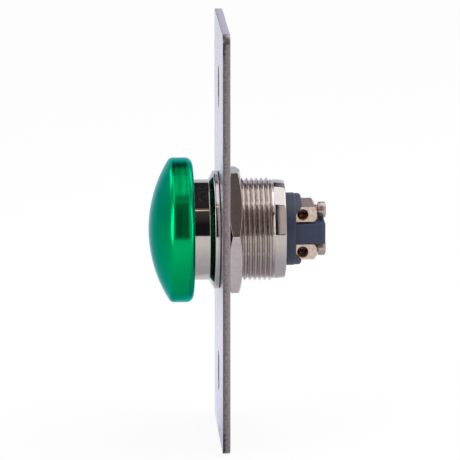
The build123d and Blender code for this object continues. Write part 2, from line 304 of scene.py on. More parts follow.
@dataclass
class Outline:
    """A section in the (station, radius) plane whose corners can be rounded."""

    corners: list[tuple[float, Radius, float]] = field(default_factory=list)
    arc_steps: int = 5
    longest_trim: float = 0.48

    def to(self, station: float, radius: Radius, rounding: float = 0.0) -> "Outline":
        """Add a corner and return the outline."""
        self.corners.append((station, radius, rounding))
        return self

    def arc(self, centre: Point, size: float, start: float, end: float, steps: int) -> "Outline":
        """Add the points of a circular arc.

        Args:
            centre: The arc's centre.
            size: The arc's radius.
            start: The first angle, in radians from the station axis.
            end: The last angle.
            steps: How many runs the arc is cut into.

        Returns:
            The outline.
        """
        for step in range(steps + 1):
            angle = start + (end - start) * step / steps
            self.to(centre[0] + size * math.cos(angle), centre[1] + size * math.sin(angle))
        return self

    def points(self) -> list[tuple[float, Radius]]:
        """Round the corners.

        Returns:
            The section's points, with an arc in place of each rounded corner.
        """
        made: list[tuple[float, Radius]] = []
        for number, (station, radius, rounding) in enumerate(self.corners):
            if not rounding:
                made.append((station, radius))
                continue
            before = self.corners[number - 1]
            after = self.corners[(number + 1) % len(self.corners)]
            made.extend(self.rounded((station, radius), before[:2], after[:2], rounding))
        return made

    def rounded(self, corner: Sequence, before: Sequence, after: Sequence, rounding: float) -> list[Point]:
        """Work out the arc that replaces one corner.

        Args:
            corner: The corner itself.
            before: The point before it.
            after: The point after it.
            rounding: The arc's radius, which a short run makes smaller.

        Returns:
            The points of the arc.
        """
        here = Vector(corner)
        back, on = Vector(before) - here, Vector(after) - here
        half = back.angle(on) / 2
        shorter = min(back.length, on.length)
        trim = min(rounding / math.tan(half), shorter * self.longest_trim)
        size = trim * math.tan(half)
        middle = here + (back.normalized() + on.normalized()).normalized() * (size / math.sin(half))
        first = here + back.normalized() * trim - middle
        last = here + on.normalized() * trim - middle
        sweep = first.angle(last)
        arc = []
        for step in range(self.arc_steps + 1):
            share = step / self.arc_steps
            near, far = math.sin((1 - share) * sweep), math.sin(share * sweep)
            arc.append(tuple(middle + (first * near + last * far) / math.sin(sweep)))
        return arc


class Draft:
    """Vertices and faces of a mesh in the making, in millimetres."""

    def __init__(self) -> None:
        """Start with nothing."""
        self.vertices: list[Sequence[float]] = []
        self.faces: list[list[int]] = []
        self.slots: list[int] = []

    def loft(self, columns: Sequence[Sequence[Place]], closed_section: bool = False, slot: int = 0) -> None:
        """Join a closed row of equal sections with faces.

        Args:
            columns: The sections, each a row of points.
            closed_section: Whether each section's last point joins its first.
            slot: The material slot of the new faces.
        """
        base, count, height = len(self.vertices), len(columns), len(columns[0])
        for column in columns:
            self.vertices.extend(column)
        for across in range(count):
            here, there = base + across * height, base + (across + 1) % count * height
            for up in range(height if closed_section else height - 1):
                above = (up + 1) % height
                self.faces.append([here + up, there + up, there + above, here + above])
                self.slots.append(slot)

    def mesh(self, name: str) -> Mesh:
        """Return the draft as a mesh in metres."""
        mesh = bpy.data.meshes.new(name)
        mesh.from_pydata([[size * MM for size in vertex] for vertex in self.vertices], [], self.faces)
        mesh.polygons.foreach_set("material_index", self.slots)
        return mesh


def turned(outline: Outline, segments: int, height: float = 0.0, closed: bool = False) -> Mesh:
    """Turn an outline about an axis along Y.

    Args:
        outline: The section.
        segments: How many columns go round.
        height: The axis's height above the push axis.
        closed: Whether the outline's last point joins its first.

    Returns:
        The turned mesh.
    """
    points, columns, draft = outline.points(), [], Draft()
    for number in range(segments):
        angle = TURN * number / segments
        column = []
        for station, radius in points:
            size = radius(angle) if callable(radius) else radius
            column.append((size * math.cos(angle), station, height + size * math.sin(angle)))
        columns.append(column)
    draft.loft(columns, closed)
    return draft.mesh("turned")


def middle_of(face: BMFace) -> Point:
    """Return a face's station and its distance from the push axis, in millimetres."""
    x, y, z = face.calc_center_median() / MM
    return y, math.hypot(x, z)


def finished(
    name: str,
    meshes: Iterable[Mesh],
    materials: Sequence[Material],
    sort: Optional[Callable[[BMFace], int]] = None,
    crease: float = 32.0,
    flat: float = 0.0,
) -> Object:
    """Weld meshes into one piece with outward faces and even shading.

    Args:
        name: The new object's name.
        meshes: The meshes that make it up.
        materials: The piece's materials, by slot.
        sort: What gives each face its slot, where the meshes don't say.
        crease: The angle in degrees past which an edge shows as sharp.
        flat: The angle in degrees up to which neighbouring faces are made one.

    Returns:
        The object, linked to the scene at the origin.
    """
    shape = bmesh.new()
    for mesh in meshes:
        shape.from_mesh(mesh)
    bmesh.ops.remove_doubles(shape, verts=shape.verts, dist=WELD)
    bmesh.ops.dissolve_degenerate(shape, edges=shape.edges, dist=WELD / 20)
    if flat:
        bmesh.ops.dissolve_limit(shape, angle_limit=math.radians(flat), verts=shape.verts, edges=shape.edges)
    bmesh.ops.recalc_face_normals(shape, faces=shape.faces)
    last_slot = max(0, len(materials) - 1)
    for face in shape.faces:
        face.smooth = True
        face.material_index = sort(face) if sort else min(face.material_index, last_slot)
    for edge in shape.edges:
        edge.smooth = edge.calc_face_angle(0.0) < math.radians(crease)
    whole = written(shape, name)
    for material in materials:
        whole.materials.append(material)
    piece = linked(name, whole)
    evened = piece.modifiers.new("even shading", "WEIGHTED_NORMAL")
    evened.mode, evened.keep_sharp = "FACE_AREA", True
    piece.data = baked(piece)
    piece.modifiers.clear()
    bpy.data.meshes.remove(whole)
    piece.data.name = name
    return piece


def softened(
    node: str,
    width: float,
    name: str,
    materials: Sequence[Material],
    sort: Optional[Callable[[BMFace], int]] = None,
) -> Object:
    """Copy a CAD node and softly round its edges.

    Args:
        node: The CAD node.
        width: The rounding's width in millimetres.
        name: The new piece's name.
        materials: The piece's materials, by slot.
        sort: What gives each face its slot, where there is more than one.

    Returns:
        The new piece.
    """
    rough = finished(name + "_rough", [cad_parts[node].data], [], flat=FLAT_ANGLE)
    bevel = rough.modifiers.new("soft edges", "BEVEL")
    bevel.width, bevel.segments, bevel.limit_method = width * MM, BEVEL_STEPS, "ANGLE"
    bevel.angle_limit, bevel.use_clamp_overlap = math.radians(BEVEL_ANGLE), False
    soft = baked(rough)
    bpy.data.objects.remove(rough)
    return finished(name, [soft], materials, sort, crease=BEVEL_CREASE)


def placed(piece: Object, body: Body, slot: str, *nodes: str) -> None:
    """Tie a finished piece to the frame and report it.

    Args:
        piece: The finished piece.
        body: The body that it rides on.
        slot: The record's material slot; not used.
        *nodes: The CAD nodes that it stands for.
    """
    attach(piece, body.value)
    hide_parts(*nodes)
    log.info("%s: %d faces, on %s", piece.name, len(piece.data.polygons), body.value)


# Finishes


@dataclass(frozen=True)
class Finish:
    """A surface with its colour, gloss, tool lines, grain, drift of colour, darkening in hollows and wear.

    Widths and heights are in millimetres. A shade, share or gloss says how much of its effect
    shows, and a span says between which values of the noise or pointiness an effect comes in.
    """

    name: str
    colour: Colour
    roughness: float
    metallic: float = 1.0
    edge_tint: Colour = WHITE
    mottle: float = 0.08
    mottle_size: float = 1.6
    lay: Lay = Lay.NONE
    line_width: float = 0.05
    line_height: float = 0.0006
    line_gloss: float = 0.1
    line_shade: float = 0.05
    grain_size: float = 0.12
    grain_height: float = 0.0004
    hollow_colour: Colour = (0.05, 0.035, 0.025)
    hollow_share: float = 0.0
    wear: float = 0.12
    hairline_stretch: ClassVar[float] = 90.0
    cross_slant: ClassVar[float] = 0.3
    gloss_drift: ClassVar[float] = 0.5
    drift_span: ClassVar[Span] = (0.3, 0.7)
    line_span: ClassVar[Span] = (0.35, 0.65)
    hollow_span: ClassVar[Span] = (0.49, 0.44)
    edge_span: ClassVar[Span] = (0.52, 0.58)
    least_roughness: ClassVar[float] = 0.03
    hollow_roughness: ClassVar[float] = 0.3
    hollow_drift: ClassVar[tuple[float, float, float, float]] = (0.2, 0.6, 0.5, 1.0)
    deep_shade: ClassVar[float] = 0.3
    worn_shade: ClassVar[float] = 1.6

    def shade(self, factor: float) -> Colour:
        """Return the finish's colour at another lightness."""
        red, green, blue = (min(1.0, part * factor) for part in self.colour)
        return red, green, blue

    def lines(self, graph: Graph, place: Value) -> Value:
        """Add the tool lines.

        Args:
            graph: The material's graph.
            place: The point on the object.

        Returns:
            The lines' height, from 0 to 1.
        """
        x, y, z = graph.parts(place)
        fine = 1 / (self.line_width * MM)

        def noise(way: Operand) -> Value:
            """Return lines across one way."""
            sockets = {"Scale": fine, "Detail": 3.0, "W": way}
            return graph.add("ShaderNodeTexNoise", {"noise_dimensions": "1D"}, sockets)

        if self.lay is Lay.TURNED:
            return noise(y + graph.math("SQRT", x * x + z * z))
        if self.lay is Lay.RINGED:
            return noise(y)
        if self.lay is Lay.CROSSED:
            return (noise(y) + noise(z + x * self.cross_slant + 1.0)) * 0.5
        hairs = graph.vector(x * fine, y * fine, z * (fine / self.hairline_stretch))
        sockets = {"Vector": hairs, "Scale": 1.0, "Detail": 3.0}
        return graph.add("ShaderNodeTexNoise", {"noise_dimensions": "3D"}, sockets)

    def zoned(self, graph: Graph, place: Value, cloud: Value, colour: Value) -> tuple[Value, Operand]:
        """Return the colour as it is and no more roughness: a plain finish has no zones."""
        return colour, 0.0

    def material(self) -> Material:
        """Build the finish.

        Returns:
            The node material.
        """
        material = bpy.data.materials.new(self.name)
        material.use_nodes = True
        graph = Graph(material.node_tree)
        place = graph.add("ShaderNodeTexCoord", output="Object")
        cloud = graph.noise(place, self.mottle_size)
        grain = graph.noise(place, self.grain_size, 4.0)
        point = graph.add("ShaderNodeNewGeometry", output="Pointiness")
        drift = cloud.ramp(*self.drift_span)
        colour = graph.mix(drift, self.shade(1 - self.mottle), self.shade(1 + self.mottle))
        height = grain * self.grain_height
        rough = ((cloud + grain - 1.0) * self.gloss_drift + 1.0) * self.roughness
        if self.lay is not Lay.NONE:
            line = self.lines(graph, place)
            height = height + line * self.line_height
            rough = rough + (line - 0.5) * self.line_gloss
            hatch = line.ramp(*self.line_span, 0.0, self.line_shade)
            colour = graph.mix(hatch, colour, self.shade(self.deep_shade))
        colour, more = self.zoned(graph, place, cloud, colour)
        rough = rough + more
        # Hollows and inner corners take the darker hollow colour, in patches
        if self.hollow_share:
            hollow = point.ramp(*self.hollow_span) * cloud.ramp(*self.hollow_drift)
            colour = graph.mix(hollow * self.hollow_share, colour, self.hollow_colour)
            rough = rough + hollow * (self.hollow_roughness * self.hollow_share)
        if self.wear:
            bare = point.ramp(*self.edge_span) * grain.ramp(*self.line_span)
            colour = graph.mix(bare * self.wear, colour, self.shade(self.worn_shade))
        bump = {"Strength": 1.0, "Distance": MM, "Height": height}
        sockets = {
            "Base Color": colour,
            "Metallic": self.metallic,
            "Roughness": rough.most(self.least_roughness),
            "Specular Tint": self.edge_tint,
            "Normal": graph.add("ShaderNodeBump", None, bump),
        }
        surface = graph.add("ShaderNodeBsdfPrincipled", None, sockets)
        graph.add("ShaderNodeOutputMaterial", None, {"Surface": surface})
        return material


@dataclass(frozen=True)
class ShearedFinish(Finish):
    """A cut sheet's edge: torn and dark in front of a wavy line, smooth behind it, with a painted sheen
    there.

    It is darkest towards the plate's corners: partly a deeper roll-over, partly painted shade of
    the rounded corner. Its top and upper corners are pale with painted light from above. The torn,
    rear sheen and corner spans are in millimetres. The lit top and upper spans are values of the
    normal's upward part.
    """

    torn_span: Span = (-0.95, -1.25)
    torn_wave: float = 1.0
    torn_share: float = 0.5
    torn_roughness: float = 0.1
    # The smooth burnished band at the rear is made paler: a painted sheen
    rear_sheen_span: Span = (-0.7, -0.1)
    rear_sheen_share: float = 0.3
    rear_sheen_tone: float = 2.0
    # Darker near the plate's corners: partly a deeper roll-over, partly painted shade of the rounded corner
    corner_rollover_shade_span: Span = (39.5, 41.0)
    corner_rollover_shade_share: float = 0.8
    corner_rollover_shade_tone: float = 0.1
    # Painted light: the top faces and the upper corners' rounding are made paler
    lit_top_span: Span = (0.8, 0.97)
    lit_top_share: float = 0.8
    lit_upper_spans: tuple[Span, Span] = ((0.08, 0.3), (0.62, 0.5))
    lit_upper_share: float = 0.4
    painted_light_tone: float = 2.3

    def zoned(self, graph: Graph, place: Value, cloud: Value, colour: Value) -> tuple[Value, Operand]:
        """Add the edge's zones.

        Args:
            graph: The material's graph.
            place: The point on the object.
            cloud: The noise that waves the line between the zones.
            colour: The edge's plain colour.

        Returns:
            The colour with its zones, and how much rougher the surface is.
        """
        _, y, z = graph.parts(place)
        station, height = y / MM, graph.math("ABSOLUTE", z / MM)
        torn = (station + (cloud - 0.5) * self.torn_wave).ramp(*self.torn_span)
        colour = graph.mix(torn * self.torn_share, colour, self.shade(self.deep_shade))
        # Painted sheen: the smooth band next to the rear face is made paler
        smooth = station.ramp(*self.rear_sheen_span) * self.rear_sheen_share
        colour = graph.mix(smooth, colour, self.shade(self.rear_sheen_tone))
        # Darker torn zone near the corners: partly deeper roll-over, partly painted shade of the rounded
        # corner
        corner = torn * height.ramp(*self.corner_rollover_shade_span) * self.corner_rollover_shade_share
        colour = graph.mix(corner, colour, self.shade(self.corner_rollover_shade_tone))
        # Painted light: paler where the normal points up, and on the upper corners' rounding
        facing = graph.parts(graph.add("ShaderNodeNewGeometry", output="Normal"))[2]
        first, last = self.lit_upper_spans
        upper = facing.ramp(*first) * facing.ramp(*last) * self.lit_upper_share
        pale = facing.ramp(*self.lit_top_span) * self.lit_top_share + upper
        return graph.mix(pale, colour, self.shade(self.painted_light_tone)), torn * self.torn_roughness


class Finishes:
    """Every finish of the object, each made into a material when it is first asked for."""

    green_glance: ClassVar[Colour] = (0.36, 0.77, 0.97)
    listed: ClassVar[tuple[Finish, ...]] = (
        Finish("brushed_plate", (0.78, 0.80, 0.93), 0.26, edge_tint=(0.98, 0.98, 1.0), lay=Lay.BRUSHED,
               line_width=0.06, line_gloss=0.16, line_shade=0.08, mottle=0.05, mottle_size=5.0),
        ShearedFinish("cut_plate_edge", (0.275, 0.235, 0.245), 0.27, lay=Lay.BRUSHED, mottle=0.25,
                      mottle_size=0.6, grain_size=0.16, grain_height=0.006, line_width=0.09,
                      line_height=0.002, line_shade=0.3, wear=0.3),
        Finish("barrel_plating", (0.53, 0.485, 0.465), 0.06, lay=Lay.TURNED, line_width=0.04,
               line_height=0.0004, line_gloss=0.02, line_shade=0.1, mottle=0.04, hollow_share=0.5),
        Finish("thread_plating", (0.62, 0.555, 0.525), 0.13, lay=Lay.RINGED, line_width=0.08,
               line_height=0.003, line_gloss=0.06, line_shade=0.3, mottle=0.12, mottle_size=0.8,
               hollow_share=0.3),
        Finish("nut_plating", (0.63, 0.555, 0.545), 0.1, lay=Lay.CROSSED, line_width=0.16,
               line_height=0.001, line_shade=0.12, grain_size=0.1, grain_height=0.0003,
               mottle=0.06, mottle_size=0.9),
        Finish("cap_anodised", (0.0, 0.40, 0.122), 0.16, edge_tint=green_glance, lay=Lay.TURNED,
               line_width=0.09, line_height=0.012, line_shade=0.12, mottle=0.04, mottle_size=4.0,
               grain_height=0.0005, wear=0.15),
        # The cap's rear face and recess: darker green as painted shade, and a duller gloss
        Finish("cap_recess_painted_shade", (0.0, 0.07, 0.022), 0.3, edge_tint=green_glance, lay=Lay.TURNED,
               line_width=0.15, line_height=0.004, line_shade=0.15),
        Finish("gasket_fibre", (0.03, 0.013, 0.008), 0.8, metallic=0.0, grain_size=0.08,
               grain_height=0.006),
        Finish("stem_steel", (0.50, 0.50, 0.51), 0.2, lay=Lay.TURNED),
        Finish("bush_moulding", (0.62, 0.60, 0.55), 0.42, metallic=0.0, grain_height=0.002),
        Finish("spring_wire", (0.42, 0.42, 0.44), 0.22, lay=Lay.RINGED, line_width=0.03),
        Finish("contact_brass", (0.62, 0.42, 0.16), 0.25, mottle=0.12, mottle_size=0.8),
        Finish("contact_silver", (0.74, 0.74, 0.72), 0.22, mottle=0.06, mottle_size=0.5),
        Finish("base_moulding", (0.024, 0.035, 0.072), 0.5, metallic=0.0, mottle=0.1,
               mottle_size=1.2, grain_size=0.09, grain_height=0.003, wear=0.25),
        Finish("terminal_plating", (0.71, 0.56, 0.475), 0.34, mottle=0.25, mottle_size=0.6,
               grain_size=0.14, grain_height=0.004, hollow_colour=(0.36, 0.19, 0.06), hollow_share=0.45, wear=0.2),
        # Darker and duller on the clamp blocks' faces that point up
        Finish("terminal_upward_faces", (0.27, 0.165, 0.13), 0.42, mottle=0.5, mottle_size=0.5,
               grain_size=0.14, grain_height=0.006, wear=0.2),
        Finish("drilled_brass", (0.62, 0.33, 0.16), 0.42, metallic=0.5, mottle=0.3, mottle_size=0.5,
               grain_size=0.1, grain_height=0.006),
        Finish("screw_plating", (0.46, 0.38, 0.35), 0.22, metallic=0.75, lay=Lay.RINGED,
               hollow_share=0.6, hollow_colour=(0.10, 0.055, 0.03)),
    )

    def __init__(self) -> None:
        """Start with no material made."""
        self.made: dict[str, Material] = {}

    def __getitem__(self, name: str) -> Material:
        """Return the material of a named finish."""
        if name not in self.made:
            self.made[name] = next(finish for finish in self.listed if finish.name == name).material()
        return self.made[name]


# Rules that repeat: threads and springs


@dataclass(frozen=True)
class Thread:
    """A right-hand thread along Y, in millimetres."""

    radius: float
    pitch: float
    depth: float
    start: float
    end: float
    datum: float
    height: float = 0.0
    fade: float = 0.4
    flank: Span = (0.125, 0.875)

    def end_radius(self, angle: float) -> float:
        """Give the shape of the thread's last ring.

        Args:
            angle: The angle in radians from +X towards +Z.

        Returns:
            The ring's radius there.
        """
        phase = ((self.end - self.datum) / self.pitch + angle / TURN) % 1.0
        low, high = self.flank
        share = (2 * min(phase, 1 - phase) - low) / (high - low)
        return self.radius - self.depth * min(1.0, max(0.0, share))


class ThreadTree(GeometryTree):
    """Wraps a grid round the axis as one continuous thread, closed by rings at both ends."""

    samples: int = 8
    spare_turns: int = 3

    def __init__(self) -> None:
        """Build the tree."""
        lengths = ("Radius", "Pitch", "Depth", "Start", "End", "Datum", "First", "Height", "Fade")
        inputs = {name: "NodeSocketFloat" for name in (*lengths, "Turns", "Crest", "Root")}
        inputs.update({"Columns": "NodeSocketInt", "Rows": "NodeSocketInt"})
        super().__init__("thread_rule", inputs)
        size = {"Size X": 1.0, "Size Y": 1.0}
        size.update({"Vertices X": self.input("Columns"), "Vertices Y": self.input("Rows")})
        grid = self.add("GeometryNodeMeshGrid", None, size)
        across, up, _ = self.parts(self.add("GeometryNodeInputPosition"))
        turn, row = across + 0.5, (up + 0.5) * self.input("Turns")
        free = self.input("First") + (row - turn) * self.input("Pitch")
        station = free.most(self.input("Start")).least(self.input("End"))
        phase = self.math("FRACT", (station - self.input("Datum")) / self.input("Pitch") + turn)
        away = self.math("PINGPONG", phase, 0.5) * 2.0
        flank = away.ramp(self.input("Crest"), self.input("Root"))
        deep = (station - self.input("Start")) / self.input("Fade")
        radius = self.input("Radius") - self.input("Depth") * flank * deep.most(0.0).least(1.0)
        angle = turn * TURN
        high = self.input("Height") + radius * self.math("SINE", angle)
        place = self.vector(radius * self.math("COSINE", angle), station, high)
        wrapped = self.add("GeometryNodeSetPosition", None, {"Geometry": grid, "Position": place})
        welded = {"Geometry": wrapped, "Distance": WELD}
        self.end(self.add("GeometryNodeMergeByDistance", None, welded))

    def cut(self, thread: Thread, columns: int, material: Material) -> Mesh:
        """Cut a thread.

        Args:
            thread: The thread's sizes.
            columns: How many columns go round it.
            material: The material that it gets.

        Returns:
            The thread's outer skin, open at both ends.
        """
        before = math.floor((thread.start - thread.datum) / thread.pitch) - 1
        turns = math.ceil((thread.end - thread.start) / thread.pitch) + self.spare_turns
        first = thread.datum + (before + 0.5 / self.samples) * thread.pitch
        values: dict[str, Any] = {"First": first * MM}
        for name in ("radius", "pitch", "depth", "start", "end", "datum", "height", "fade"):
            values[name.capitalize()] = getattr(thread, name) * MM
        values["Crest"], values["Root"] = thread.flank
        values.update({"Turns": float(turns), "Columns": columns + 1, "Rows": turns * self.samples + 1})
        return self.mesh({**values, "Material": material})


class CoilTree(GeometryTree):
    """Sweeps a round wire along a helix about the push axis."""

    wire_sides: int = 14
    steps_a_turn: int = 48

    def __init__(self) -> None:
        """Build the tree."""
        lengths = ("Coil radius", "Wire radius", "Length", "Start", "Turns")
        super().__init__("coil_rule", {name: "NodeSocketFloat" for name in lengths})
        radius = self.input("Coil radius")
        coil = {"Start Radius": radius, "End Radius": radius, "Resolution": self.steps_a_turn}
        coil.update({"Rotations": self.input("Turns"), "Height": self.input("Length")})
        wire = {"Resolution": self.wire_sides, "Radius": self.input("Wire radius")}
        sweep = {
            "Curve": self.add("GeometryNodeCurveSpiral", None, coil),
            "Profile Curve": self.add("GeometryNodeCurvePrimitiveCircle", None, wire),
            "Fill Caps": True,
        }
        laid = {
            "Geometry": self.add("GeometryNodeCurveToMesh", None, sweep),
            "Translation": self.vector(0.0, self.input("Start"), 0.0),
            "Rotation": (-math.pi / 2, 0.0, 0.0),
        }
        self.end(self.add("GeometryNodeTransform", None, laid))


# Sub-assemblies


@dataclass
class WallPlate:
    """The narrow steel plate, with its rounded border, two fixing slots and barrel hole."""

    width: float = 36.0
    length: float = 90.0
    thickness: float = 1.6
    corner: float = 2.0
    edge_round: float = 0.12
    hole_radius: float = 11.15
    slot_pitch: float = 62.0
    slot_length: float = 8.8
    slot_width: float = 4.4
    corner_steps: int = 12
    round_steps: int = 5
    hole_steps: int = 128

    def box_ring(self, size: Span, corner: float, middle: float, inset: float) -> list[Point]:
        """Lay out a round-cornered ring in the plate's plane.

        Args:
            size: The ring's width and length before the inset.
            corner: The corners' radius before the inset.
            middle: The height of the ring's centre.
            inset: How far the ring is drawn inwards, or outwards if below zero.

        Returns:
            The ring's points as (x, z).
        """
        across, up, reach = size[0] / 2 - corner, size[1] / 2 - corner, corner - inset
        points = []
        for quarter, (side, top) in enumerate(((1, 1), (-1, 1), (-1, -1), (1, -1))):
            for step in range(self.corner_steps + 1):
                angle = math.pi / 2 * (quarter + step / self.corner_steps)
                x = side * across + reach * math.cos(angle)
                points.append((x, middle + top * up + reach * math.sin(angle)))
        return points

    def hole_ring(self, inset: float) -> list[Point]:
        """Return the barrel's hole as a ring of (x, z) points."""
        reach = self.hole_radius - inset
        angles = [TURN * step / self.hole_steps for step in range(self.hole_steps)]
        return [(reach * math.cos(angle), reach * math.sin(angle)) for angle in angles]

    def rims(self) -> list[tuple[Callable[[float], list[Point]], float]]:
        """List the plate's borders.

        Returns:
            Each border as a ring for an inset, with its edge rounding, below zero for a hole.
        """
        border = partial(self.box_ring, (self.width, self.length), self.corner, 0.0)
        made = [(border, self.edge_round), (self.hole_ring, -self.edge_round)]
        for middle in (self.slot_pitch / 2, -self.slot_pitch / 2):
            size = (self.slot_width, self.slot_length)
            made.append((partial(self.box_ring, size, self.slot_width / 2, middle), -self.edge_round))
        return made

    def rows(self, rounding: float) -> list[tuple[float, float]]:
        """Go over a border from the front face to the rear one.

        Args:
            rounding: The border's edge rounding, below zero for a hole.

        Returns:
            The station and inset of each row of points.
        """
        size, front = abs(rounding), []
        for step in range(self.round_steps + 1):
            angle = math.pi / 2 * step / self.round_steps
            inset = math.copysign(size * (1 - math.sin(angle)), rounding)
            front.append((size * (1 - math.cos(angle)) - self.thickness, inset))
        return front + [(-self.thickness - station, inset) for station, inset in reversed(front)]

    def face(self, loops: Sequence[Sequence[Place]]) -> Mesh:
        """Fill a face of the plate.

        Args:
            loops: Its border and its holes.

        Returns:
            The face's mesh.
        """
        face = bmesh.new()
        for loop in loops:
            corners = [face.verts.new([size * MM for size in point]) for point in loop]
            for first, second in zip(corners, corners[1:] + corners[:1]):
                face.edges.new((first, second))
        bmesh.ops.remove_doubles(face, verts=face.verts, dist=WELD)
        bmesh.ops.triangle_fill(face, use_beauty=True, use_dissolve=False, edges=face.edges)
        return written(face, "plate_face")

    def build(self, finishes: Finishes) -> None:
        """Build and dress the plate.

        Args:
            finishes: The object's finishes.
        """
        draft, fronts, rears = Draft(), [], []
        for ring, rounding in self.rims():
            rows = [[(x, station, z) for x, z in ring(inset)] for station, inset in self.rows(rounding)]
            draft.loft(list(zip(*rows)), slot=1)
            fronts.append(rows[0])
            rears.append(rows[-1])
        meshes = [draft.mesh("plate_edge"), self.face(fronts), self.face(rears)]
        piece = finished("wall_plate", meshes, [finishes["brushed_plate"], finishes["cut_plate_edge"]])
        placed(piece, Body.HOUSING, "plate_steel", "face_plate")


@dataclass
class Barrel:
    """The turned and plated barrel: neck, flared bezel, thread, run-out and rolled collar."""

    thread: Thread = Thread(11.0, 1.05, 0.62, -1.0, 9.45, 0.505)
    neck_front: float = -8.6
    neck_rear: float = -3.75
    neck_radius: float = 10.74
    cone_rear: float = -3.05
    cone_radius: float = 12.2
    flange_front: float = -2.8
    flange_rear: float = -1.8
    flange_radius: float = 12.6
    flange_front_round: float = 0.36
    flange_rear_round: float = 0.14
    flange_flat: float = 0.28
    pocket_radius: float = 8.6
    web_front: float = -2.6
    web_rear: float = -0.6
    boss_front: float = -6.0
    boss_radius: float = 5.0
    bore_radius: float = 4.02
    chamber_radius: float = 8.4
    seat_front: float = 8.55
    seat_radius: float = 8.9
    lip_front: float = 11.3
    lip_radius: float = 7.9
    lip_round: float = 0.12
    mouth_round: float = 0.15
    soft_round: float = 0.3
    fine_round: float = 0.1
    runout_floor: Point = (9.7, 10.44)
    collar_front: Point = (9.95, 10.6)
    collar_rear: Point = (12.35, 10.38)
    collar_front_round: float = 0.06
    collar_rear_round: float = 0.4
    collar_bow: float = 1.8
    collar_steps: int = 10
    skin: float = 9.4
    segments: int = 256
    gasket_radius: float = 12.45
    gasket_bore: float = 11.15
    gasket_rear: float = -1.6
    gasket_round: float = 0.08

    def front(self) -> Outline:
        """Lay out the section from the collar's lip through the inside to the thread's start.

        Returns:
            The section.
        """
        return (
            Outline()
            .to(self.collar_rear[0], self.lip_radius, self.lip_round)
            .to(self.lip_front, self.lip_radius)
            .to(self.lip_front, self.seat_radius)
            .to(self.seat_front, self.seat_radius)
            .to(self.seat_front, self.chamber_radius)
            .to(self.web_rear, self.chamber_radius)
            .to(self.web_rear, self.bore_radius)
            .to(self.boss_front, self.bore_radius)
            .to(self.boss_front, self.boss_radius, self.fine_round)
            .to(self.web_front, self.boss_radius, self.soft_round)
            .to(self.web_front, self.pocket_radius, self.soft_round)
            .to(self.neck_front, self.pocket_radius, self.mouth_round)
            .to(self.neck_front, self.neck_radius, self.soft_round)
            .to(self.neck_rear, self.neck_radius, self.soft_round)
            .to(self.cone_rear, self.cone_radius, self.fine_round)
            .to(self.flange_front, self.flange_radius, self.flange_front_round)
            .to(self.flange_front + self.flange_flat, self.flange_radius)
            .to(self.flange_rear, self.flange_radius, self.flange_rear_round)
            .to(self.flange_rear, self.thread.radius)
            .to(self.thread.start, self.thread.radius)
        )

    def rear(self) -> Outline:
        """Lay out the section from the thread's end over the bowed collar to its lip.

        Returns:
            The section.
        """
        outline = Outline().to(self.thread.end, self.thread.end_radius).to(*self.runout_floor)
        outline.to(*self.collar_front, self.collar_front_round)
        (front, high), (rear, low) = self.collar_front, self.collar_rear
        for step in range(1, self.collar_steps - 1):
            share = step / self.collar_steps
            outline.to(front + (rear - front) * share, high + (low - high) * share**self.collar_bow)
        return outline.to(rear, low, self.collar_rear_round).to(rear, self.lip_radius)

    def slot(self, face: BMFace) -> int:
        """Return a face's slot: the thread has a duller finish."""
        station, away = middle_of(face)
        return int(self.thread.start < station < self.thread.end and away > self.skin)

    def build(self, finishes: Finishes, threads: ThreadTree) -> None:
        """Build and dress the barrel and its gasket.

        Args:
            finishes: The object's finishes.
            threads: The tree that cuts threads.
        """
        metals = [finishes["barrel_plating"], finishes["thread_plating"]]
        front, rear = (turned(section, self.segments) for section in (self.front(), self.rear()))
        meshes = [front, threads.cut(self.thread, self.segments, metals[0]), rear]
        piece = finished("threaded_barrel", meshes, metals, self.slot)
        placed(piece, Body.HOUSING, "barrel_nickel", "barrel")
        ring = (
            Outline()
            .to(self.flange_rear, self.gasket_bore)
            .to(self.flange_rear, self.gasket_radius, self.gasket_round)
            .to(self.gasket_rear, self.gasket_radius, self.gasket_round)
            .to(self.gasket_rear, self.gasket_bore)
        )
        meshes = [turned(ring, self.segments, closed=True)]
        gasket = finished("flange_gasket", meshes, [finishes["gasket_fibre"]])
        placed(gasket, Body.HOUSING, "gasket_rubber", "bezel_gasket")


